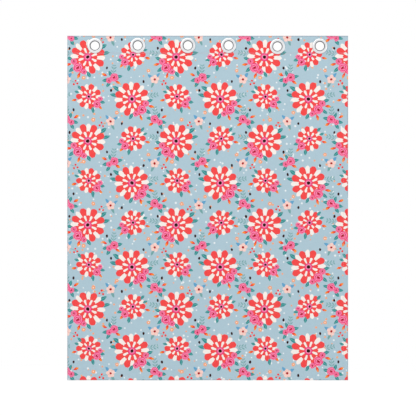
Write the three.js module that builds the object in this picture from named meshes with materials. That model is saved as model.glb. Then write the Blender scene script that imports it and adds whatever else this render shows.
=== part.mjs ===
// A printed curtain that hangs from six eyelets, in millimetres.
// X runs from its left edge to its right edge as seen from the room, Y away from the room, Z up.
// The origin is the middle of the top edge, half way through the heading.
import * as THREE from "three";

// Finished cloth
const width = 1304;
const drop = 1600;
const panelThickness = 1.5;

// Heading: the folded and stiffened top, ending at its line of stitches
const headingHeight = 82;
const headingThickness = 3;

// Hems, turned to the back, and the short slope where each one ends
const sideHem = 25;
const bottomHem = 50;
const hemThickness = 0.8;
const hemSlope = 2;

// Clearances
const gap = 0.3; // between neighbouring pieces
const panelSetBack = 0.1; // the panel's front behind the heading's front

// Eyelet
const boreRadius = 19.8;
const collarRadius = 22.6;
const crestRadius = 25;
const flangeRadius = 35.5;
const flangeHeight = 3.4;
const rimHeight = 0.8;
const shoulderInset = 1.6; // from the rim in to the shoulder of the dome
const shoulderShare = 0.7; // the shoulder's height as a share of the flange's
const domeFall = 0.15; // from the crest to the middle of the dome
const backRadius = 33;
const backHeight = 2.4;
const backBevel = 2.5;
const eyeletSides = 32;
const throatSteps = 4;

// Where each eyelet's centre is, from the left edge and below the top edge
const eyelets = [
  { fromLeft: 128, down: 46 },
  { fromLeft: 327, down: 45 },
  { fromLeft: 560, down: 45 },
  { fromLeft: 749, down: 45 },
  { fromLeft: 976, down: 50 },
  { fromLeft: 1173, down: 48 },
];

// The shallow swells of the hanging panel. Each is a soft bump, as far forward at the hem as given
// (negative is back, away from the room), that fades to nothing at the heading and leans sideways.
const swells = [
  { fromLeft: 64, halfWidth: 165, forward: 3.2, lean: 12 },
  { fromLeft: 227, halfWidth: 190, forward: -4.2, lean: -14 },
  { fromLeft: 443, halfWidth: 215, forward: 5, lean: 20 },
  { fromLeft: 655, halfWidth: 205, forward: -3.6, lean: -8 },
  { fromLeft: 862, halfWidth: 210, forward: 4.6, lean: 16 },
  { fromLeft: 1075, halfWidth: 195, forward: -4.4, lean: 10 },
  { fromLeft: 1240, halfWidth: 165, forward: 2.8, lean: -12 },
];

// How finely the panel is divided between its hems
const panelColumns = 44;
const panelRows = 8;

const headingFront = -headingThickness / 2;
const panelFront = headingFront + panelSetBack;
const panelTop = headingHeight + gap;

const clothMaterial = new THREE.MeshStandardMaterial({ color: 0xb0c9d5, roughness: 0.9, metalness: 0 });
const headingMaterial = new THREE.MeshStandardMaterial({ color: 0xa9c3d0, roughness: 0.9, metalness: 0 });
const eyeletMaterial = new THREE.MeshStandardMaterial({ color: 0xdfe2e4, roughness: 0.25, metalness: 0.9 });

function namedMesh(name, geometry, material) {
  const mesh = new THREE.Mesh(geometry, material);
  mesh.name = name;
  return mesh;
}

// A flat strip with a round hole for each eyelet's collar.
function makeHeading() {
  const outline = new THREE.Shape();
  outline.moveTo(-width / 2, -headingHeight);
  outline.lineTo(width / 2, -headingHeight);
  outline.lineTo(width / 2, 0);
  outline.lineTo(-width / 2, 0);
  outline.closePath();
  for (const { fromLeft, down } of eyelets) {
    const hole = new THREE.Path();
    hole.absarc(fromLeft - width / 2, -down, collarRadius + gap, 0, 2 * Math.PI, true);
    outline.holes.push(hole);
  }
  const strip = new THREE.ExtrudeGeometry(outline, {
    depth: headingThickness,
    bevelEnabled: false,
    curveSegments: eyeletSides / 2, // a round hole is two such curves
  });
  const heading = namedMesh("heading", strip, headingMaterial);
  heading.rotation.x = Math.PI / 2; // stands the strip up, with its thickness along Y
  heading.position.y = headingThickness / 2;
  return heading;
}

function spread(from, to, steps) {
  return Array.from({ length: steps + 1 }, (_, i) => from + ((to - from) * i) / steps);
}

// How far towards the room the panel stands at a place.
function swellAt(fromLeft, down) {
  const share = (down - panelTop) / (drop - panelTop);
  const growth = share * (2 - share);
  return swells.reduce((sum, swell) => {
    const away = (fromLeft - swell.fromLeft - swell.lean * share) / swell.halfWidth;
    const bump = Math.abs(away) < 1 ? (1 + Math.cos(Math.PI * away)) / 2 : 0;
    return sum + swell.forward * growth * bump;
  }, 0);
}

// One sheet from a divided box: its grid lines are moved to the hems and its faces to the swells.
function makePanel() {
  const acrossLines = [
    0,
    sideHem,
    ...spread(sideHem + hemSlope, width - sideHem - hemSlope, panelColumns),
    width - sideHem,
    width,
  ];
  const downLines = [
    ...spread(panelTop, drop - bottomHem - hemSlope, panelRows),
    drop - bottomHem,
    drop,
  ];
  const columns = acrossLines.length - 1;
  const rows = downLines.length - 1;
  const sheet = new THREE.BoxGeometry(1, 1, 1, columns, 1, rows);
  const corners = sheet.getAttribute("position");
  for (let i = 0; i < corners.count; i++) {
    const fromLeft = acrossLines[Math.round((corners.getX(i) + 0.5) * columns)];
    const down = downLines[Math.round((0.5 - corners.getZ(i)) * rows)];
    const onBack = corners.getY(i) > 0;
    const inHem = fromLeft <= sideHem || fromLeft >= width - sideHem || down >= drop - bottomHem;
    const depth = onBack ? panelThickness + (inHem ? hemThickness : 0) : 0;
    corners.setXYZ(i, fromLeft - width / 2, panelFront + depth - swellAt(fromLeft, down), -down);
  }
  return namedMesh("panel", sheet, clothMaterial);
}

// A closed ring round the Y axis, from its outline in radius and Y.
function ring(outline) {
  const points = [...outline, outline[0]].map(([radius, y]) => new THREE.Vector2(radius, y));
  return new THREE.LatheGeometry(points, eyeletSides);
}

// The front half: a domed flange on the cloth, a throat that narrows to the bore, and the collar.
function makeEyeletFront(name) {
  const seat = headingFront - gap;
  const crest = seat - flangeHeight;
  const collarEnd = headingThickness / 2 + gap + backHeight;
  const throatEnd = headingThickness / 2;
  const throat = spread(Math.PI / 2, 0, throatSteps).map((turn) => [
    crestRadius - (crestRadius - boreRadius) * Math.sin(turn),
    throatEnd - (throatEnd - crest) * Math.cos(turn),
  ]);
  return namedMesh(
    name,
    ring([
      [boreRadius, collarEnd],
      ...throat,
      [(flangeRadius + crestRadius) / 2, crest + domeFall],
      [flangeRadius - shoulderInset, seat - shoulderShare * flangeHeight],
      [flangeRadius, seat - rimHeight],
      [flangeRadius, seat],
      [collarRadius, seat],
      [collarRadius, collarEnd],
    ]),
    eyeletMaterial,
  );
}

// The back half: a low ring that the collar is pressed into.
function makeEyeletBack(name) {
  const seat = headingThickness / 2 + gap;
  const inner = collarRadius + gap;
  return namedMesh(
    name,
    ring([
      [inner, seat + backHeight],
      [inner, seat],
      [backRadius, seat],
      [backRadius, seat + rimHeight],
      [backRadius - backBevel, seat + backHeight],
    ]),
    eyeletMaterial,
  );
}

const curtain = new THREE.Group();
curtain.add(makeHeading(), makePanel());
eyelets.forEach(({ fromLeft, down }, i) => {
  const eyelet = new THREE.Group();
  eyelet.position.set(fromLeft - width / 2, 0, -down);
  eyelet.add(makeEyeletFront(`eyelet_front_${i + 1}`), makeEyeletBack(`eyelet_back_${i + 1}`));
  curtain.add(eyelet);
});

export default curtain;
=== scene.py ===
import math

import bmesh
import bpy
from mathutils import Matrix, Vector


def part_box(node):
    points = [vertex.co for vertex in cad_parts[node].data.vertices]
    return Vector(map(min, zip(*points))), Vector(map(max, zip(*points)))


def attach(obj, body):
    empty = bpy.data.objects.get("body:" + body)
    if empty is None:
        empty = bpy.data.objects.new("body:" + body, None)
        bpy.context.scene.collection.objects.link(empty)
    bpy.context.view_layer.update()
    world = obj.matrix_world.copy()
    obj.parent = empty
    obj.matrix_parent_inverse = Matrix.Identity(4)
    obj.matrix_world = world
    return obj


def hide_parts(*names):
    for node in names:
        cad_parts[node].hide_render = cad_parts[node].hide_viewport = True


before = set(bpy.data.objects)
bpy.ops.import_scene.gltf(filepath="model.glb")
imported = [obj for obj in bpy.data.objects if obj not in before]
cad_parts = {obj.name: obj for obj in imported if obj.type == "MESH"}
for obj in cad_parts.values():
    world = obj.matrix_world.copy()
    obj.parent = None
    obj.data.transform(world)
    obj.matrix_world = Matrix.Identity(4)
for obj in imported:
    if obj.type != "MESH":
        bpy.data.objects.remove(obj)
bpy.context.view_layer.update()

mm = 0.001

headingLow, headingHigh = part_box("heading")
panelLow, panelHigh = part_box("panel")
leftEdge, rightEdge = headingLow.x, headingHigh.x
curtainWidth = rightEdge - leftEdge
hemLine, topEdge = panelLow.z, headingHigh.z
seamLine = (headingLow.z + panelHigh.z) / 2  # where the heading is sewn down
print(f"frame: {curtainWidth:.3f} m wide, {topEdge - hemLine:.3f} m long")


# A socket that can be added, multiplied and compared, so a mask reads as a formula
class Wire:
    def __init__(self, shader, socket):
        self.shader, self.socket = shader, socket

    def math(self, operation, *values):
        return self.shader.node("ShaderNodeMath", {"operation": operation}, *values)

    def __add__(self, other):
        return self.math("ADD", self, other)

    def __sub__(self, other):
        return self.math("SUBTRACT", self, other)

    def __rsub__(self, other):
        return self.math("SUBTRACT", other, self)

    def __mul__(self, other):
        return self.math("MULTIPLY", self, other)

    def __truediv__(self, other):
        return self.math("DIVIDE", self, other)

    def __lt__(self, other):
        return self.math("LESS_THAN", self, other)

    def __gt__(self, other):
        return self.math("GREATER_THAN", self, other)

    def __abs__(self):
        return self.math("ABSOLUTE", self)

    def fract(self):
        return self.math("FRACT", self)

    def sine(self):
        return self.math("SINE", self)

    def cosine(self):
        return self.math("COSINE", self)

    def root(self):
        return self.math("SQRT", self)

    __radd__ = __add__
    __rmul__ = __mul__


class Shader:
    def __init__(self, name):
        self.material = bpy.data.materials.new(name)
        self.material.use_nodes = True
        self.tree = self.material.node_tree
        self.surface = self.tree.nodes["Principled BSDF"]

    def plug(self, socket, value):
        if isinstance(value, Wire):
            self.tree.links.new(value.socket, socket)
        elif value is not None:
            socket.default_value = value

    # Makes any node: its settings first, then its sockets by place or by name
    def node(self, kind, settings=None, *values, take=0, **named):
        made = self.tree.nodes.new(kind)
        for key, value in (settings or {}).items():
            setattr(made, key, value)
        for socket, value in zip(made.inputs, values):
            self.plug(socket, value)
        for name, value in named.items():
            self.plug(made.inputs[name], value)
        return Wire(self, made.outputs[take])

    def vector(self, operation, *values, take=0, **named):
        return self.node("ShaderNodeVectorMath", {"operation": operation}, *values, take=take, **named)

    def parts(self, vector):
        split = self.node("ShaderNodeSeparateXYZ", None, vector).socket.node
        return [Wire(self, split.outputs[i]) for i in range(3)]

    def noise(self, place, scale, detail, space="2D", take=0):
        settings = {"noise_dimensions": space}
        return self.node("ShaderNodeTexNoise", settings, place, Scale=scale, Detail=detail, take=take)

    # A colour mix: its first socket is the mask, its seventh and eighth are the colours
    def mix(self, mask, under, over):
        return self.node("ShaderNodeMix", {"data_type": "RGBA"}, mask, *[None] * 5, under, over, take=2)

    # 0 below low, 1 above high, smooth between
    def rise(self, value, low, high):
        settings = {"interpolation_type": "SMOOTHSTEP"}
        return self.node("ShaderNodeMapRange", settings, value, low, high, 0.0, 1.0)

    def feed(self, **sockets):
        for name, value in sockets.items():
            self.plug(self.surface.inputs[name.replace("_", " ")], value)


# Screen colour 0 to 255 to the linear colour that a shader takes, less what the lamps and the
# gloss add to it
lighting = {"gain": 1.32, "haze": 0.012}


def paint(red, green, blue):
    linear = []
    for value in (red / 255, green / 255, blue / 255):
        value = value / 12.92 if value <= 0.04045 else ((value + 0.055) / 1.055) ** 2.4
        linear.append(max(0.0, value - lighting["haze"]) / lighting["gain"])
    return (*linear, 1.0)


# The print is a made-up floral in the photo's colours and scale. Each group of motifs stands at its
# place in the repeat and, mirrored, half a repeat further both ways. Places are in mm from the top
# left corner, sizes are lengths or radii in mm, and turns are in degrees.
printed = {
    "repeat": (410, 390),
    "wobble": 2.2,  # how far the drawn edges wander
    "wobbleScale": 0.06,
    "dotSizes": (0.6, 0.8),  # share of the radius for a draw of 0, and what a draw of 1 adds to it
    "dots": [
        {"every": 37, "radius": 4.7, "share": 0.62, "colour": paint(233, 239, 241)},
        {"every": 49, "radius": 4.9, "share": 0.62, "colour": paint(249, 172, 128)},
    ],
    "bigFlower": (95, -99),
    "smallFlower": (305, -88),
    "posy": (209, -200),
    "blossoms": (-4, -203),
}
inks = {
    "ground": paint(176, 201, 213),
    "coral": paint(246, 76, 76),
    "coralLine": paint(220, 50, 56),
    "coralLight": paint(250, 104, 98),
    "cream": paint(249, 241, 235),
    "creamLine": paint(246, 200, 190),
    "creamShade": paint(243, 224, 216),
    "rose": paint(249, 92, 146),
    "roseLight": paint(255, 160, 192),
    "roseLine": paint(220, 40, 102),
    "wine": paint(170, 10, 36),
    "teal": paint(56, 140, 142),
    "tealLight": paint(104, 178, 174),
    "sage": paint(120, 168, 168),
    "orange": paint(255, 148, 48),
    "red": paint(243, 62, 52),
    "blossom": paint(252, 212, 202),
    "blossomLine": paint(240, 176, 168),
    "blue": paint(100, 165, 205),
    "peach": paint(250, 168, 122),
    "seed": paint(54, 18, 24),
}

# How each motif is drawn. What isn't a count or a turn is a share of its size, a petal or a swirl.
drawing = {
    "leaf": {"rib": 0.16},
    "bud": {"tip": -0.3},  # where red turns to orange
    "sprig": {"pairs": 3, "slant": 0.9, "leafAt": 0.16, "leafLength": 0.25, "leafWidth": 0.12, "stem": 0.02},
    "petal": {
        "innerRow": 0.56,  # how long the petals of the inner row are
        "coralWider": 0.08,
        "roundness": 0.15,  # how far a petal's sides fall short of its tip
        "line": 0.88,  # its outline starts here, on the way from its middle to its sides
        "veinAt": 0.42,
        "veinWidth": 0.14,
        "veinTaper": 0.16,
    },
    "heart": {"lobes": 9, "lobeDepth": 0.045, "line": 0.215, "rose": 0.18, "light": 0.135, "seed": 0.1},
    "rose": {
        "petals": 5,
        "petalDepth": 0.1,
        "swirls": 3,
        "waves": 4,
        "waveTwist": 5,
        "waveDepth": 0.17,
        "light": 0.36,  # a swirl is light, then rosy from here
        "line": 0.74,  # and dark from here
        "heart": (0.34, 0.18),
        "heartTurn": 20,
    },
    "blossom": {"petals": 5, "petalDepth": 0.26, "line": 0.18, "heart": 0.26},
}


# Stamps one motif after another over the colour so far
class Printer:
    def __init__(self, shader, page, colour):
        self.shader, self.page, self.colour = shader, page, colour

    def stamp(self, mask, ink):
        self.colour = self.shader.mix(mask, self.colour, ink)

    # Moves to the nearest place of a group
    def moveTo(self, at):
        across, along = (side / 2 for side in printed["repeat"])
        near = []
        for shift in (0, 1):
            place = (at[0] + across * shift, at[1] + along * shift, 0)
            away = self.shader.vector("SUBTRACT", self.page, place)
            near.append(self.shader.vector("WRAP", away, (across, along, 1), (-across, -along, -1)))
        first, second = (self.shader.vector("LENGTH", away, take="Value") for away in near)
        mirrored = self.shader.vector("MULTIPLY", near[1], (-1, 1, 1))
        change = self.shader.vector("SUBTRACT", mirrored, near[0])
        chosen = self.shader.vector("SCALE", change, Scale=second < first)
        self.here = self.shader.vector("ADD", near[0], chosen)

    # The place as seen from a motif of the group, along it and across it, in the lengths given
    def local(self, at, turn, length, width=None):
        tilt = math.radians(turn)
        along = Vector((math.cos(tilt), math.sin(tilt), 0)) / length
        across = Vector((-math.sin(tilt), math.cos(tilt), 0)) / (width or length)
        away = self.shader.vector("SUBTRACT", self.here, (*at, 0))
        ways = (tuple(along), tuple(across))
        return [self.shader.vector("DOT_PRODUCT", away, way, take="Value") for way in ways]

    def polar(self, at, turn, radius):
        x, y = self.local(at, turn, radius)
        return (x * x + y * y).root(), y.math("ARCTAN2", y, x)

    def dot(self, at, ink, length, width=None, turn=0):
        x, y = self.local(at, turn, length, width)
        self.stamp(x * x + y * y < 1, inks[ink])

    def leaf(self, at, turn, length, width, ink="teal", rib="tealLight"):
        x, y = self.local(at, turn, length / 2, width / 2)
        side = abs(y)
        tone = self.shader.mix(side < drawing["leaf"]["rib"], inks[ink], inks[rib])
        self.stamp(side + x * x < 1, tone)

    def bud(self, at, turn, length, width):
        x, y = self.local(at, turn, length / 2, width / 2)
        side = abs(y)
        tone = self.shader.mix(x - side > drawing["bud"]["tip"], inks["red"], inks["orange"])
        self.stamp(side + x * x < 1, tone)

    # A stem along x with leaves in pairs
    def sprig(self, at, turn, length, ink="sage"):
        form = drawing["sprig"]
        x, y = self.local(at, turn, length)
        side = abs(y)
        along = ((x - side * form["slant"]) * form["pairs"]).fract() - 0.5
        across = (side - form["leafAt"]) / form["leafWidth"]
        leaves = along * along * (1 / form["leafLength"] ** 2) + across * across < 1
        shape = leaves.math("MAXIMUM", leaves, side < form["stem"])
        self.stamp(shape * (x > 0) * (x < 1), inks[ink])

    # Long petals in turn coral and cream with veins, a short inner row, and a dark heart in a rosy ring
    def flower(self, radius, turn, petals):
        reach, angle = self.polar((0, 0), turn, radius)
        form = drawing["petal"]
        for size, shift in ((1, 0), (form["innerRow"], 1)):
            phase = angle * (petals / math.tau) + petals + shift
            phase = phase + (phase * math.pi).cosine() * form["coralWider"]
            inPetal = abs(phase.fract() - 0.5) * 2  # 0 along its middle, 1 at its sides
            cream = (phase * 0.5).fract() > 0.5
            inside = reach < size - inPetal * inPetal * (form["roundness"] * size)
            taper = reach * (form["veinTaper"] / size)
            vein = abs(inPetal - form["veinAt"]) + taper < form["veinWidth"]
            ink = self.shader.mix(cream, inks["coral"], inks["cream"])
            shade = self.shader.mix(cream, inks["coralLight"], inks["creamShade"])
            line = self.shader.mix(cream, inks["coralLine"], inks["creamLine"])
            ink = self.shader.mix(vein, ink, shade)
            self.stamp(inside, self.shader.mix(inPetal > form["line"], ink, line))
        form = drawing["heart"]
        edge = reach - abs((angle * (form["lobes"] / 2)).cosine()) * form["lobeDepth"]
        self.stamp(edge < form["line"], inks["roseLine"])
        self.stamp(edge < form["rose"], inks["rose"])
        self.stamp(reach < form["light"], inks["roseLight"])
        self.stamp(reach < form["seed"], inks["seed"])

    def rose(self, at, turn, radius):
        form = drawing["rose"]
        reach, angle = self.polar(at, turn, radius)
        lobes = abs((angle * (form["petals"] / 2)).sine())
        inside = reach + (1 - lobes) * form["petalDepth"] < 1
        wave = (angle * form["waves"] + reach * form["waveTwist"]).sine() * form["waveDepth"]
        swirl = (reach * form["swirls"] + angle * (1 / math.tau) + wave + 1).fract()
        ink = self.shader.mix(swirl < form["light"], inks["rose"], inks["roseLight"])
        self.stamp(inside, self.shader.mix(swirl > form["line"], ink, inks["roseLine"]))
        length, width = (radius * share for share in form["heart"])
        self.dot(at, "wine", length, width, turn + form["heartTurn"])

    def blossom(self, at, turn, radius, petal="blossom", line="blossomLine", heart="wine"):
        form = drawing["blossom"]
        reach, angle = self.polar(at, turn, radius)
        lobes = abs((angle * (form["petals"] / 2)).cosine())
        inside = reach - lobes * form["petalDepth"] < 1 - form["petalDepth"]
        self.stamp(inside, self.shader.mix(lobes < form["line"], inks[petal], inks[line]))
        self.dot(at, heart, radius * form["heart"])

    # Two leaves behind the big flower, a sprig beside it and an arc of three roses at its lower left
    def bigFlower(self):
        self.sprig((-78, 14), 170, 44)
        self.leaf((69, 47), 34, 46, 18)
        self.leaf((83, 18), 12, 42, 16)
        self.flower(81, 8, 16)
        self.leaf((-81, -8), 160, 36, 15)
        self.leaf((-74, -58), 220, 36, 15)
        self.leaf((4, -80), 302, 34, 15)
        self.bud((-90, -34), 190, 30, 12)
        self.bud((-42, -86), 250, 30, 12)
        self.rose((-65, -20), 100, 15)
        self.rose((-18, -68), 40, 14)
        self.rose((-46, -49), 15, 23)

    # Two roses at the small flower's lower left, with leaves and buds round it
    def smallFlower(self):
        self.flower(59, -12, 14)
        self.leaf((-60, -24), 194, 32, 14)
        self.leaf((-19, -62), 262, 32, 14)
        self.bud((-53, -50), 226, 26, 11)
        self.rose((-37, -34), 20, 19)
        self.rose((-53, -10), 150, 12)
        self.leaf((43, 42), 50, 28, 12)
        self.leaf((56, 22), 18, 24, 11)
        self.bud((68, -16), -12, 25, 11)

    # Two roses on leaves, with buds, a sprig and dark seed heads
    def posy(self):
        self.sprig((4, 22), 84, 44)
        self.leaf((-30, -6), 192, 36, 15)
        self.leaf((-18, -25), 238, 34, 15)
        self.leaf((30, 10), 14, 36, 15)
        self.leaf((-10, 24), 112, 32, 14)
        self.bud((25, -16), -30, 28, 12)
        self.bud((-37, 19), 156, 27, 12)
        self.dot((-25, 50), "seed", 5, 7)
        self.dot((-6, -54), "seed", 5, 7)
        self.rose((9, 7), 15, 20)
        self.rose((-15, -7), 100, 14)

    # A pale blossom on blue leaves with a spray of red berries, and small peach flowers near it
    def blossoms(self):
        self.leaf((-19, 12), 146, 34, 14, "blue", "blue")
        self.leaf((14, 18), 52, 32, 13, "blue", "blue")
        self.leaf((-10, -24), 246, 32, 12, "sage", "sage")
        self.dot((30, -10), "sage", 20, 0.9, -22)
        for berry in ((51, -18), (42, -6), (35, -22)):
            self.dot(berry, "red", 4.8)
        self.blossom((0, 0), 10, 21)
        self.blossom((80, 8), 0, 10, "peach", "peach", "cream")
        self.blossom((-29, 41), 30, 9, "peach", "peach", "cream")
        self.dot((-52, -10), "seed", 5, 7)


# The print at every place of the cloth. The cloth map holds the place as cut, in metres, before the
# hems are turned.
def printOn(shader):
    place = shader.node("ShaderNodeUVMap", {"uv_map": "cloth"})
    page = shader.vector("MULTIPLY", place, (1 / mm, 1 / mm, 0))
    colour = inks["ground"]
    settings = {"voronoi_dimensions": "2D"}
    for dots in printed["dots"]:
        near = shader.node("ShaderNodeTexVoronoi", settings, page, Scale=1 / dots["every"])
        draw, _, _ = shader.parts(Wire(shader, near.socket.node.outputs["Color"]))
        smallest, more = (share * dots["radius"] / dots["every"] for share in printed["dotSizes"])
        shown = (near < draw * more + smallest) * (draw < dots["share"])
        colour = shader.mix(shown, colour, dots["colour"])
    drift = shader.noise(page, printed["wobbleScale"], 1.0, take="Color")
    step = 2 * printed["wobble"]
    wander = shader.vector("MULTIPLY_ADD", drift, (step, step, 0), (-step / 2, -step / 2, 0))
    printer = Printer(shader, shader.vector("ADD", page, wander), colour)
    for group in ("posy", "blossoms", "smallFlower", "bigFlower"):
        printer.moveTo(printed[group])
        getattr(printer, group)()
    return page, printer.colour


# What the cloth's two faces are made of. Sizes and reaches are in mm, and scales are per mm.
weaving = {
    "yarn": 0.8,  # from one yarn to the next
    "yarnHeight": 0.075,
    "yarnTone": 0.035,  # how much lighter the raised yarns are
    "slub": 0.045,  # how much thick and thin yarns change its tone
    "slubStretch": [(0.035, 1.1, 0), (1.3, 0.03, 0)],  # along the weft and along the warp
    "softness": 0.35,  # how high it rises and falls over a few cm
    "softScale": 0.02,
    "pucker": 0.22,  # how high it ripples beside its stitches
    "puckerScale": 0.085,
    "puckerReach": (1, 14),
    "groove": 0.12,  # how deep its stitches pull it in
    "grooveReach": (0.2, 1.5),
    "seamShadeStrength": 0.3,  # how strong the painted crease shade beside the heading's stitches is, tinted like its thread
    "seamReach": (0.4, 2.4),
    "edgeReach": (1, 6),  # how far the painted shade along its folded edges reaches
    "topEdgeShade": 0.62,  # how grey that painted shade makes them, along the top and then down the sides
    "sideEdgeShade": 0.5,
    "edgeShadeScale": 0.009,
    "edgeShadePatches": (0.25, 0.6),
    "showThrough": 0.26,  # how much of the print reaches the wrong side
    # The next two colours are painted shade: the crease beside the heading's seam, and the folded edges
    "seamCreaseShade": paint(186, 170, 182),
    "edgeShadeInk": paint(138, 139, 154),
    "wrongSide": paint(232, 238, 242),
}
# How matt each face is, and how much rougher in patches of the given scale
faces = {
    "printedCloth": {"roughness": 0.74, "rougher": 0.14, "scale": 0.11, "specular": 0.22, "sheen": 0.04},
    "clothWrongSide": {"roughness": 0.84, "rougher": 0.1, "scale": 0.07, "specular": 0.2, "sheen": 0.05},
}
width, drop = curtainWidth / mm, (topEdge - hemLine) / mm
seamDown = (topEdge - seamLine) / mm
stitchIn = {"side": 22.5, "bottom": 47.5, "heading": seamDown - 1.6}  # rows of stitches, from each edge


# Distance in mm to the nearest row of stitches, at a place of the cloth
def toStitches(shader, x, z):
    side = abs(width / 2 - abs(x - width / 2) - stitchIn["side"])
    bottom = abs(z + (drop - stitchIn["bottom"]))
    top = abs(z + stitchIn["heading"])
    return side.math("MINIMUM", side.math("MINIMUM", side, bottom), top)


# Over and under of the yarns, from -1 to 1
def plainWeave(x, z):
    turn = math.pi / weaving["yarn"]
    return (x * turn).sine() * (z * turn).sine()


# Yarns, puckers beside the stitches, the groove that the stitches pull, and slow ups and downs
def clothNormal(shader, page):
    x, z, _ = shader.parts(page)
    yarns = plainWeave(x, z) * weaving["yarnHeight"]
    near = toStitches(shader, x, z)
    still = shader.rise(near, *weaving["puckerReach"])
    pucker = (1 - still) * shader.noise(page, weaving["puckerScale"], 1.5) * weaving["pucker"]
    groove = shader.rise(near, *weaving["grooveReach"]) * weaving["groove"]
    soft = shader.noise(page, weaving["softScale"], 1.0) * weaving["softness"]
    height = yarns + pucker + groove + soft
    return shader.node("ShaderNodeBump", None, Strength=0.8, Distance=mm, Height=height)


# Tone of the cloth around 1, from its yarns and from where they are thick and thin both ways
def slubs(shader, page):
    x, z, _ = shader.parts(page)
    weft, warp = (shader.vector("MULTIPLY", page, stretch) for stretch in weaving["slubStretch"])
    uneven = shader.noise(weft, 1.0, 2.0) + shader.noise(warp, 1.0, 2.0) - 1
    return uneven * (2 * weaving["slub"]) + plainWeave(x, z) * weaving["yarnTone"] + 1


# Painted shade along the folded edges at a place: greyest along the top, in patches down the sides
def edges(shader, page):
    x, z, _ = shader.parts(page)
    fromEdges = (z, z + drop, abs(x - width / 2) - width / 2)
    top, bottom, side = (1 - shader.rise(abs(away), *weaving["edgeReach"]) for away in fromEdges)
    patches = shader.rise(shader.noise(page, weaving["edgeShadeScale"], 1.0), *weaving["edgeShadePatches"])
    lower = side.math("MAXIMUM", side, bottom) * patches * weaving["sideEdgeShade"]
    return top.math("MAXIMUM", top * weaving["topEdgeShade"], lower)


# The printed face, with painted crease shade beside the heading's stitches and painted shade along its
# folded edges
def rightSide(shader, page, colour):
    _, z, _ = shader.parts(page)
    # Painted crease shade beside the heading's stitches, tinted like its thread
    seamCreaseShade = 1 - shader.rise(abs(z + stitchIn["heading"]), *weaving["seamReach"])
    colour = shader.mix(seamCreaseShade * weaving["seamShadeStrength"], colour, weaving["seamCreaseShade"])
    # Painted shade along the folded edges
    return shader.mix(edges(shader, page), colour, weaving["edgeShadeInk"])


def wrongSide(shader, page, colour):
    return shader.mix(weaving["showThrough"], weaving["wrongSide"], colour)


def clothFace(name, tint):
    shader, face = Shader(name), faces[name]
    page, colour = printOn(shader)
    colour = shader.vector("SCALE", tint(shader, page, colour), Scale=slubs(shader, page))
    roughness = shader.noise(page, face["scale"], 2.0) * face["rougher"] + face["roughness"]
    shader.feed(Base_Color=colour, Roughness=roughness, Normal=clothNormal(shader, page))
    shader.feed(Specular_IOR_Level=face["specular"], Sheen_Weight=face["sheen"], Sheen_Roughness=0.5)
    return shader.material


clothFaces = [clothFace("printedCloth", rightSide), clothFace("clothWrongSide", wrongSide)]
print("cloth: print and both faces")


# Places on the curtain are given in mm: from its left edge, down from its top, and away from the room
def spot(fromLeft, down, depth):
    return Vector((leftEdge + fromLeft * mm, depth * mm, topEdge - down * mm))


# The breaks, with each stretch between two of them divided into steps no longer than given
def gridLines(breaks, step):
    lines = [breaks[0]]
    for low, high in zip(breaks, breaks[1:]):
        count = math.ceil((high - low) / step - 0.001)  # a hair over a step adds none
        lines += [low + (high - low) * i / count for i in range(1, count + 1)]
    return lines


# Breaks from the left edge, and the same from the right
def bothEdges(breaks):
    return breaks + [width - place for place in reversed(breaks)]


def smooth(value):
    value = min(1.0, max(0.0, value))
    return value * value * (3 - 2 * value)


def bell(value):
    return math.exp(-value * value)


# How the cloth turns and is pulled in, in mm
folding = {
    "roundness": 0.9,  # how near a turned edge comes to a half circle
    "turnLines": [0, 0.12, 0.4, 0.8],  # grid lines from a turned edge in
    "stitchDepth": 0.16,
    "stitchWidth": 1.1,
    "stitchLine": 1.4,  # the next grid line beside a row of stitches
}


# How far a folded edge has turned in, at a distance from it
def curl(distance, radius):
    if distance >= radius:
        return 0.0
    return folding["roundness"] * (radius - math.sqrt(radius**2 - (radius - distance) ** 2))


# How deep the stitches pull the cloth in, at a distance from their row
def pulledIn(distance):
    return folding["stitchDepth"] * bell(distance / folding["stitchWidth"])


# Shares of a baked picture: a margin all round, and thin strips for the walls in a gutter between
# the back's share and the front's
baking = {"margin": 0.01, "gutter": 0.02, "firstStrip": 0.003, "strip": 0.002, "nextStrip": 0.0034}


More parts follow.
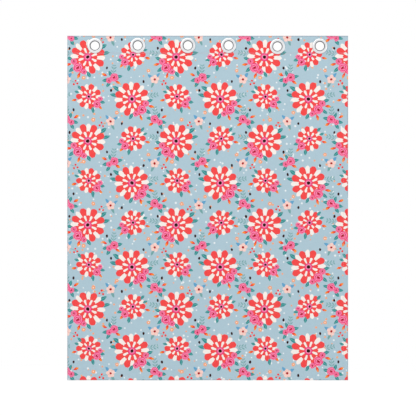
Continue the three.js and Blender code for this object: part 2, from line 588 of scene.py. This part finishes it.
# A closed sheet: a front and a back grid with walls between them, and a round hole where one is
# given. depthsAt gives its front and back at a place, cutAt the place as cut and whether the printed
# face shows there, and backShare is how much of a baked picture the back takes. Round a hole the
# grid gives way to a patch that ends on its circle. The walls named as crisp have sharp edges.
def makeSheet(name, across, down, depthsAt, cutAt, backShare, holes=(), crisp=()):
    mesh = bmesh.new()
    clothMap, bakeMap = mesh.loops.layers.uv.new("cloth"), mesh.loops.layers.uv.new("OFBake")
    margin, inner = baking["margin"], 1 - 2 * baking["margin"]
    backEnd = backShare - baking["gutter"]
    bands = {"back": (margin, backEnd), "front": (backShare, 1 - margin)}
    for i, wall in enumerate(("top", "bottom", "left", "right", "hole")):
        start = backEnd + baking["firstStrip"] + baking["nextStrip"] * i
        bands[wall] = (start, start + baking["strip"])
    places = {}

    # The front and back corner at a place
    def corners(x, z):
        pair = [mesh.verts.new(spot(x, z, depth)) for depth in depthsAt(x, z)]
        places.update((vert, (x, z)) for vert in pair)
        return pair

    # Shares are for a wall: how far along its strip each corner is. Otherwise the corner's place says it.
    def addFace(verts, where, shares=None):
        face = mesh.faces.new(verts)
        middle = [sum(values) / len(verts) for values in zip(*(places[vert] for vert in verts))]
        low, high = bands[where]
        for i, loop in enumerate(face.loops):
            x, z = places[loop.vert]
            cut, isPrinted = cutAt(x, z, where == "back", middle)
            loop[clothMap].uv = (cut[0] * mm, -cut[1] * mm)
            along = shares[i] if shares else (x - across[0]) / (across[-1] - across[0])
            rise = i // 2 if shares else (down[-1] - z) / (down[-1] - down[0])
            loop[bakeMap].uv = (margin + inner * along, low + (high - low) * rise)
        face.smooth = True
        face.material_index = 0 if isPrinted else 1
        if where in crisp:
            for edge in face.edges:
                edge.smooth = False

    def addPatch(pairs):
        addFace([front for front, _ in pairs], "front")
        addFace([back for _, back in reversed(pairs)], "back")

    def addWall(first, second, where, start, end):
        addFace([first[0], second[0], second[1], first[1]], where, [start, end, end, start])

    grid = [[corners(x, z) for x in across] for z in down]
    lastRow, lastColumn = len(down) - 1, len(across) - 1
    windows = [holeWindow(hole, across, down) for hole in holes]
    for row in range(lastRow):
        for column in range(lastColumn):
            if not any(isInside(row, column, window) for window in windows):
                above, below = grid[row], grid[row + 1]
                addPatch([above[column], below[column], below[column + 1], above[column + 1]])
    for column in range(lastColumn):
        start, end = column / lastColumn, (column + 1) / lastColumn
        addWall(grid[0][column], grid[0][column + 1], "top", start, end)
        addWall(grid[lastRow][column + 1], grid[lastRow][column], "bottom", end, start)
    for row in range(lastRow):
        start, end = row / lastRow, (row + 1) / lastRow
        addWall(grid[row + 1][0], grid[row][0], "left", end, start)
        addWall(grid[row][lastColumn], grid[row + 1][lastColumn], "right", start, end)
    for number, (hole, window) in enumerate(zip(holes, windows)):
        around = windowCorners(*window)
        rim = []
        for row, column in around:
            toCorner = Vector((across[column] - hole["fromLeft"], down[row] - hole["down"]))
            away = toCorner.normalized() * hole["radius"]
            rim.append(corners(hole["fromLeft"] + away.x, hole["down"] + away.y))
        for i, (row, column) in enumerate(around):
            following = (i + 1) % len(around)
            nextRow, nextColumn = around[following]
            addPatch([grid[row][column], grid[nextRow][nextColumn], rim[following], rim[i]])
            start, end = ((number + step / len(around)) / len(holes) for step in (i, i + 1))
            addWall(rim[i], rim[following], "hole", start, end)
    for vert in [vert for vert in mesh.verts if not vert.link_faces]:
        mesh.verts.remove(vert)
    return finishMesh(name, mesh, clothFaces)


# The first and last grid lines each way of the square that a hole takes out of the grid
def holeWindow(hole, across, down):
    reach = hole["radius"] + hole["margin"]

    def nearest(lines, place):
        return min(range(len(lines)), key=lambda i: abs(lines[i] - place))

    left, right = (nearest(across, hole["fromLeft"] + side * reach) for side in (-1, 1))
    top, bottom = (nearest(down, hole["down"] + side * reach) for side in (-1, 1))
    return left, right, top, bottom


def isInside(row, column, window):
    left, right, top, bottom = window
    return top <= row < bottom and left <= column < right


# The rows and columns of a square's corners, once round from its bottom left
def windowCorners(left, right, top, bottom):
    corners = [(bottom, column) for column in range(left, right)]
    corners += [(row, right) for row in range(bottom, top, -1)]
    corners += [(top, column) for column in range(right, left, -1)]
    return corners + [(row, left) for row in range(top, bottom)]


def finishMesh(name, mesh, materials):
    data = bpy.data.meshes.new(name)
    mesh.to_mesh(data)
    mesh.free()
    for material in materials:
        data.materials.append(material)
    piece = bpy.data.objects.new(name, data)
    bpy.context.scene.collection.objects.link(piece)
    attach(piece, "root")
    return piece


# The panel hangs in shallow swells. Each is as far towards the room at the hem as given (negative is
# away from it), fades to nothing at the heading and leans sideways. Sizes are in mm.
panel = {
    "thickness": 1.5,
    "sideHem": 25,
    "bottomHem": 50,
    "hemThickness": 0.8,
    "hemSlope": 1.3,
    "turnEnd": 1.3,  # the last grid line of a turned edge
    "grid": 8.2,
    "topLine": 1.5,  # the first grid line below the seam
    "backShare": 0.22,
    "swells": [
        {"fromLeft": 64, "halfWidth": 165, "forward": 3.2, "lean": 12},
        {"fromLeft": 227, "halfWidth": 190, "forward": -4.2, "lean": -14},
        {"fromLeft": 443, "halfWidth": 215, "forward": 5, "lean": 20},
        {"fromLeft": 655, "halfWidth": 205, "forward": -3.6, "lean": -8},
        {"fromLeft": 862, "halfWidth": 210, "forward": 4.6, "lean": 16},
        {"fromLeft": 1075, "halfWidth": 195, "forward": -4.4, "lean": 10},
        {"fromLeft": 1240, "halfWidth": 165, "forward": 2.8, "lean": -12},
    ],
    "rippleHeight": 0.2,
    "rippleStart": 60,  # nothing ripples where the heading holds the cloth
    "sideRipple": {"reach": 30, "length": 3.9, "sway": 1.7, "swayLength": 37},
    "bottomRipple": {"reach": 42, "length": 4.6, "sway": 1.9, "swayLength": 43},
}
clothFront = headingLow.y / mm


def swellAt(fromLeft, down):
    share = (down - seamDown) / (drop - seamDown)
    total = 0.0
    for swell in panel["swells"]:
        away = (fromLeft - swell["fromLeft"] - swell["lean"] * share) / swell["halfWidth"]
        if abs(away) < 1:
            total += swell["forward"] * share * (2 - share) * (1 + math.cos(math.pi * away)) / 2
    return total


# A ripple that runs along an edge and fades away from it
def rippleAt(ripple, away, along, shift=0):
    sway = ripple["sway"] * math.sin(along / ripple["swayLength"] + shift)
    return bell(away / ripple["reach"]) * math.sin(along / ripple["length"] + sway)


def panelDepths(fromLeft, down):
    side, below = min(fromLeft, width - fromLeft), drop - down
    onRight = fromLeft > width / 2
    inHem = max(
        1 - smooth((side - panel["sideHem"]) / panel["hemSlope"]),
        1 - smooth((below - panel["bottomHem"]) / panel["hemSlope"]),
    )
    thickness = panel["thickness"] + panel["hemThickness"] * inHem
    inward = max(curl(side, thickness / 2), curl(below, thickness / 2))
    inward += pulledIn(side - stitchIn["side"]) + pulledIn(below - stitchIn["bottom"])
    ripple = rippleAt(panel["sideRipple"], side, down, shift=1 if onRight else 0)
    ripple += rippleAt(panel["bottomRipple"], below, fromLeft)
    ripple *= panel["rippleHeight"] * min(1.0, (down - seamDown) / panel["rippleStart"])
    middle = clothFront - swellAt(fromLeft, down) + ripple
    return middle + inward, middle + thickness - inward


# The hems are the same cloth turned to the back, so its printed face shows there, mirrored at the
# fold. The bottom hem is turned last and covers the ends of the side hems.
def panelCut(fromLeft, down, onBack, middle):
    slope = panel["hemSlope"]
    if onBack and middle[1] > drop - panel["bottomHem"] - slope:
        return (fromLeft, 2 * drop - down), True
    if onBack and middle[0] < panel["sideHem"] + slope:
        return (-fromLeft, down), True
    if onBack and middle[0] > width - panel["sideHem"] - slope:
        return (2 * width - fromLeft, down), True
    return (fromLeft, down), not onBack


def hemBreaks(hem, stitches):
    slope, beside = panel["hemSlope"], folding["stitchLine"]
    turned = folding["turnLines"] + [panel["turnEnd"]]
    return turned + [stitches - beside, stitches, stitches + beside, hem, hem + slope / 2, hem + slope]


def makePanel():
    bottomBreaks = hemBreaks(panel["bottomHem"], stitchIn["bottom"])
    downBreaks = [seamDown, seamDown + panel["topLine"]] + [drop - place for place in reversed(bottomBreaks)]
    across = gridLines(bothEdges(hemBreaks(panel["sideHem"], stitchIn["side"])), panel["grid"])
    down = gridLines(downBreaks, panel["grid"])
    return makeSheet("panelCloth", across, down, panelDepths, panelCut, panel["backShare"], crisp=["top"])


panelCloth = makePanel()
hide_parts("panel")
print(f"panel: {len(panelCloth.data.polygons)} faces")

# The heading is the cloth's top, folded over a stiff band. Its back is printed too, mirrored at the
# top fold. Sizes are in mm.
heading = {
    "eyelets": 6,
    "grid": 4.5,
    "holeRadius": 22.9,
    "holeMargin": 4.5,  # how far the patch round a hole reaches
    "turnEnd": 1.5,
    "lowerFold": 1.3,  # radius of the back's lower edge
    "seamLines": [1.3, 0.7, 0.3, 0.1, 0],  # the last grid lines, as distances above the seam
    "backShare": 0.5,
}
eyeletBoxes = [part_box(f"eyelet_front_{number}") for number in range(1, heading["eyelets"] + 1)]
eyeletCentres = [(low + high) / 2 for low, high in eyeletBoxes]


def headingDepths(fromLeft, down):
    radius = (headingHigh.y - headingLow.y) / mm / 2
    side = min(fromLeft, width - fromLeft)
    inward = max(curl(side, radius), curl(down, radius)) + pulledIn(down - stitchIn["heading"])
    lowerFold = curl(seamDown - down, heading["lowerFold"])
    return clothFront + inward, headingHigh.y / mm - inward - lowerFold


def headingCut(fromLeft, down, onBack, middle):
    return (fromLeft, -down if onBack else down), True


def makeHeading():
    holes = []
    for centre in eyeletCentres:
        at = {"fromLeft": (centre.x - leftEdge) / mm, "down": (topEdge - centre.z) / mm}
        holes.append({**at, "radius": heading["holeRadius"], "margin": heading["holeMargin"]})
    turned = folding["turnLines"] + [heading["turnEnd"]]
    sewn = [stitchIn["heading"] - folding["stitchLine"], stitchIn["heading"]]
    downBreaks = turned + sewn + [seamDown - place for place in heading["seamLines"]]
    grids = [gridLines(breaks, heading["grid"]) for breaks in (bothEdges(turned), downBreaks)]
    crisp = ["bottom", "hole"]
    return makeSheet("headingCloth", *grids, headingDepths, headingCut, heading["backShare"], holes, crisp)


headingCloth = makeHeading()
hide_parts("heading")
print(f"heading: {len(headingCloth.data.polygons)} faces")

# Sewing thread: short proud stitches on both faces, tips sunk in the cloth. Sizes are in mm.
thread = {
    "pitch": 4.2,
    "length": 3.5,
    "radius": 0.34,
    "sides": 6,
    "proud": 0.1,
    "dip": 0.3,  # how far a stitch's tips bend down from its middle
    # The rings of a stitch: the place along it, and the share of the radius there
    "rings": [(-0.5, 0.35), (-0.3, 0.9), (0.0, 1.0), (0.3, 0.9), (0.5, 0.35)],
    "fromEdge": 4,  # where a row starts and ends
    "fromSeam": 3,
    "twist": 0.55,  # length of one twist of its plies
    "twistHeight": 0.05,
    "twistTone": 0.03,
    "patchScale": 260,  # per metre
    "tone": 0.3,  # spread between its lightest and darkest patches
    "roughness": 0.42,
    "rougher": 0.2,
    "heading": paint(214, 176, 190),
    "hem": paint(184, 201, 210),
}


def threadMaterial(name, tint):
    shader = Shader(name)
    place = shader.node("ShaderNodeTexCoord", None, take="Object")
    patches = shader.noise(place, thread["patchScale"], 0.0, "3D")
    x, _, z = shader.parts(place)
    twist = ((x + z) * (math.tau / (thread["twist"] * mm))).sine()
    tone = patches * thread["tone"] + (1 - thread["tone"] / 2) + twist * thread["twistTone"]
    height = twist * thread["twistHeight"]
    normal = shader.node("ShaderNodeBump", None, Strength=0.6, Distance=mm, Height=height)
    roughness = patches * thread["rougher"] + thread["roughness"]
    shader.feed(Base_Color=shader.vector("SCALE", tint[:3], Scale=tone), Roughness=roughness)
    shader.feed(Normal=normal, Sheen_Weight=0.1)
    return shader.material


def sewRows(name, rows, depths, tint):
    mesh = bmesh.new()
    for row in rows:
        start, end = (Vector(place) for place in row)
        along = (end - start).normalized()
        across = Vector((-along.y, along.x))
        count = int((end - start).length / thread["pitch"])
        for i in range(count):
            middle = start + along * (thread["pitch"] * (i + 0.5))
            for side, out in ((0, -1), (1, 1)):  # on the front, then on the back
                addStitch(mesh, middle, along, across, side, out, depths)
    bmesh.ops.recalc_face_normals(mesh, faces=mesh.faces)
    return finishMesh(name, mesh, [threadMaterial(name + "Thread", tint)])


def addStitch(mesh, middle, along, across, side, out, depths):
    rings = []
    for place, share in thread["rings"]:
        at = middle + along * (place * thread["length"])
        radius = thread["radius"] * share
        surface = depths(*middle)[side] + out * (thread["proud"] - thread["dip"] * (2 * place) ** 2)
        ring = []
        for step in range(thread["sides"]):
            turn = math.tau * step / thread["sides"]
            point = at + across * (radius * math.cos(turn))
            ring.append(mesh.verts.new(spot(point.x, point.y, surface + radius * math.sin(turn))))
        rings.append(ring)
    for first, second in zip(rings, rings[1:]):
        for step in range(thread["sides"]):
            beside = (step + 1) % thread["sides"]
            mesh.faces.new((first[step], first[beside], second[beside], second[step])).smooth = True
    mesh.faces.new(rings[0])
    mesh.faces.new(list(reversed(rings[-1])))


def sewHeading():
    left, right, row = thread["fromEdge"], width - thread["fromEdge"], stitchIn["heading"]
    rows = [((left, row), (right, row))]
    return sewRows("headingStitches", rows, headingDepths, thread["heading"])


def sewHems():
    left, right, row = thread["fromEdge"], width - thread["fromEdge"], drop - stitchIn["bottom"]
    top, bottom = seamDown + thread["fromSeam"], drop - thread["fromEdge"]
    sides = (stitchIn["side"], width - stitchIn["side"])
    rows = [((side, top), (side, bottom)) for side in sides] + [((left, row), (right, row))]
    return sewRows("hemStitches", rows, panelDepths, thread["hem"])


headingStitches = sewHeading()
hemStitches = sewHems()
print(f"stitches: {len(headingStitches.data.polygons) + len(hemStitches.data.polygons)} faces")


# Pressed nickel eyelets. The sizes are radii in mm where they aren't depths, counts or powers.
eyelet = {
    "bore": 19.8,
    "crest": 25,
    "collar": 22.6,
    "throatEnd": 1.5,  # how far back the throat's curve runs
    "domeOut": 0.62,  # powers of a sine and a cosine, which flatten the dome's top
    "domeUp": 0.9,
    "brightFrom": 24.1,  # the painted shade of the inner wall ends here
    "brightTo": 34.9,  # the painted shade of the outer edge starts here
    "backInner": 22.9,
    "backOuter": 33,
    "backRoll": 3.4,
    "backRim": 0.5,  # height of its straight outer edge
    "innerRoll": 1.3,
    "throatSteps": 14,
    "domeSteps": 16,
    "rollSteps": 10,
    "innerSteps": 6,
    "segments": 96,
    "sharp": 50,  # edges that turn by more than these degrees are crisp
    "bright": {"name": "nickel", "tint": (0.7, 0.71, 0.725), "roughness": 0.26},
    # A darker copy of the nickel: painted shade on the throat and the outer edge
    "dark": {"name": "nickelShaded", "tint": (0.12, 0.122, 0.134), "roughness": 0.3},
    # What a faint haze and a fine grain do to both metals: scales are per metre and heights in mm
    "haze": {"scale": 70, "height": 0.06, "rougher": 0.16, "tone": 0.08},
    "grain": {"scale": 900, "height": 0.03, "rougher": 0.06},
}


def metal(name, tint, roughness):
    shader = Shader(name)
    place = shader.node("ShaderNodeTexCoord", None, take="Object")
    haze, grain = eyelet["haze"], eyelet["grain"]
    hazy = shader.noise(place, haze["scale"], 3.0, "3D")
    grainy = shader.noise(place, grain["scale"], 2.0, "3D")
    tone = hazy * haze["tone"] + (1 - haze["tone"] / 2)
    height = grainy * grain["height"] + hazy * haze["height"]
    normal = shader.node("ShaderNodeBump", None, Strength=0.15, Distance=mm, Height=height)
    uneven = hazy * haze["rougher"] + grainy * grain["rougher"] + roughness
    shader.feed(Base_Color=shader.vector("SCALE", tint, Scale=tone), Roughness=uneven)
    shader.feed(Normal=normal, Metallic=1.0)
    return shader.material


# A ring turned round the y axis, from its outline in radius and depth. Its faces between the two radii take
# the first metal, and the others the second, a darker copy that paints shade on them.
def turnRing(name, centre, outline, metals, brightFrom, brightTo):
    mesh = bmesh.new()
    count = eyelet["segments"]
    circles = []
    for radius, depth in outline:
        circle = []
        for step in range(count):
            turn = math.tau * step / count
            place = Vector((radius * math.cos(turn), depth, radius * math.sin(turn))) * mm
            circle.append(mesh.verts.new(place + Vector((centre.x, 0, centre.z))))
        circles.append(circle)
    for i, circle in enumerate(circles):
        following = (i + 1) % len(circles)
        middle = (outline[i][0] + outline[following][0]) / 2
        for step in range(count):
            beside, nextCircle = (step + 1) % count, circles[following]
            face = mesh.faces.new((circle[step], circle[beside], nextCircle[beside], nextCircle[step]))
            face.smooth = True
            face.material_index = 0 if brightFrom < middle < brightTo else 1
    bmesh.ops.recalc_face_normals(mesh, faces=mesh.faces)
    for edge in mesh.edges:
        if edge.calc_face_angle(0) > math.radians(eyelet["sharp"]):
            edge.smooth = False
    return finishMesh(name, mesh, metals)


# Sine and cosine at even steps over a quarter turn
def quarter(steps):
    turns = [math.pi / 2 * i / steps for i in range(steps + 1)]
    return [(math.sin(turn), math.cos(turn)) for turn in turns]


# Up the throat from the bore to the crest, out over the dome, in along the cloth and round the
# collar's rolled end
def frontOutline(low, high):
    seat, crestDepth, backEnd = clothFront, low.y / mm, high.y / mm
    flange = (high.x - low.x) / mm / 2
    bore, crest, throatEnd = eyelet["bore"], eyelet["crest"], eyelet["throatEnd"]
    roll = (eyelet["collar"] - bore) / 2
    outline = []
    for sine, cosine in quarter(eyelet["throatSteps"]):
        outline.append((crest - (crest - bore) * cosine, throatEnd + (crestDepth - throatEnd) * sine))
    for sine, cosine in quarter(eyelet["domeSteps"])[1:]:
        reach, height = sine ** eyelet["domeOut"], cosine ** eyelet["domeUp"]
        outline.append((crest + (flange - crest) * reach, seat + (crestDepth - seat) * height))
    outline.append((eyelet["collar"], seat))
    for i in reversed(range(eyelet["rollSteps"] + 1)):
        turn = math.pi * i / eyelet["rollSteps"]
        outline.append((bore + roll - roll * math.cos(turn), backEnd - roll + roll * math.sin(turn)))
    return outline


# Out along the cloth, up the rolled outer edge and in over the top to the rounded inner edge
def backOutline(low, high):
    seat, top = headingHigh.y / mm, high.y / mm
    inner, outer, roll = eyelet["backInner"], eyelet["backOuter"], eyelet["backRoll"]
    rim, innerRoll = eyelet["backRim"], eyelet["innerRoll"]
    outline = [(inner, seat), (outer, seat)]
    for sine, cosine in quarter(eyelet["rollSteps"]):
        outline.append((outer - roll + roll * cosine, seat + rim + (top - seat - rim) * sine))
    for sine, cosine in quarter(eyelet["innerSteps"]):
        outline.append((inner + innerRoll - innerRoll * sine, top - innerRoll + innerRoll * cosine))
    return outline


def makeEyelets():
    metals = [metal(**eyelet["bright"]), metal(**eyelet["dark"])]
    rings = []
    for number, centre in enumerate(eyeletCentres, 1):
        for half in ("Front", "Back"):
            node = f"eyelet_{half.lower()}_{number}"
            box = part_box(node)
            if half == "Front":
                outline, brightBand = frontOutline(*box), (eyelet["brightFrom"], eyelet["brightTo"])
            else:
                outline, brightBand = backOutline(*box), (0, math.inf)
            ring = turnRing(f"eyelet{half}{number}", centre, outline, metals, *brightBand)
            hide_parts(node)
            rings.append(ring)
    return rings


eyelets = makeEyelets()
print(f"eyelets: {len(eyelets)} halves")

# A pale floor under the hem, even light from all round, and soft lamps from the upper left, the right
# and above. Sizes are in metres.
studio = {
    "floorDrop": 0.6,  # from the hem to the floor, as under a window
    "floorSize": 20,
    "floorTones": ((0.97, 0.97, 0.97, 1), (1, 1, 1, 1)),
    "sky": 1.0,
    "lamps": [
        {"name": "keyLamp", "at": (-2.6, -3.4, 1.6), "size": 2.6, "watts": 42},
        {"name": "fillLamp", "at": (3.0, -3.0, -0.4), "size": 2.2, "watts": 14},
        {"name": "topLamp", "at": (0, -0.6, 2.4), "size": 4.0, "watts": 48},
    ],
    "middle": (0, 0, -0.8),
}


def makeFloor():
    mesh = bmesh.new()
    bmesh.ops.create_grid(mesh, x_segments=4, y_segments=4, size=studio["floorSize"] / 2)
    data = bpy.data.meshes.new("floor")
    mesh.to_mesh(data)
    mesh.free()
    shader = Shader("floorPaper")
    place = shader.node("ShaderNodeTexCoord", None, take="Object")
    shader.feed(Base_Color=shader.mix(shader.noise(place, 3.0, 2.0, "3D"), *studio["floorTones"]))
    shader.feed(Roughness=1.0, Specular_IOR_Level=0.0)
    data.materials.append(shader.material)
    floor = bpy.data.objects.new("floor", data)
    bpy.context.scene.collection.objects.link(floor)
    floor.location.z = hemLine - studio["floorDrop"]


def lightStudio():
    scene = bpy.context.scene
    scene.world = bpy.data.worlds.new("studioSky")
    scene.world.use_nodes = True
    sky = scene.world.node_tree.nodes["Background"]
    sky.inputs["Color"].default_value = (1, 1, 1, 1)
    sky.inputs["Strength"].default_value = studio["sky"]
    for lamp in studio["lamps"]:
        light = bpy.data.lights.new(lamp["name"], "AREA")
        light.shape, light.size, light.energy = "DISK", lamp["size"], lamp["watts"]
        placed = bpy.data.objects.new(lamp["name"], light)
        placed.location = lamp["at"]
        aim = Vector(studio["middle"]) - Vector(lamp["at"])
        placed.rotation_euler = aim.to_track_quat("-Z", "Y").to_euler()
        scene.collection.objects.link(placed)
    scene.view_settings.view_transform = "Standard"


# The photo is face on and flat, as from far away: its frame is 1.932 m wide at the cloth
view = {"lens": 200, "sensor": 36, "frameWidth": 1.932, "aside": 0.0014, "height": -0.8}


def placeCamera():
    lens = bpy.data.cameras.new("camera")
    lens.lens, lens.sensor_width, lens.sensor_fit = view["lens"], view["sensor"], "HORIZONTAL"
    camera = bpy.data.objects.new("camera", lens)
    away = view["frameWidth"] * view["lens"] / view["sensor"]
    camera.location = (view["aside"], headingLow.y - away, view["height"])
    camera.rotation_euler = (math.pi / 2, 0, 0)
    bpy.context.scene.collection.objects.link(camera)
    bpy.context.scene.camera = camera


makeFloor()
lightStudio()
placeCamera()
print("studio: floor, lamps and camera")
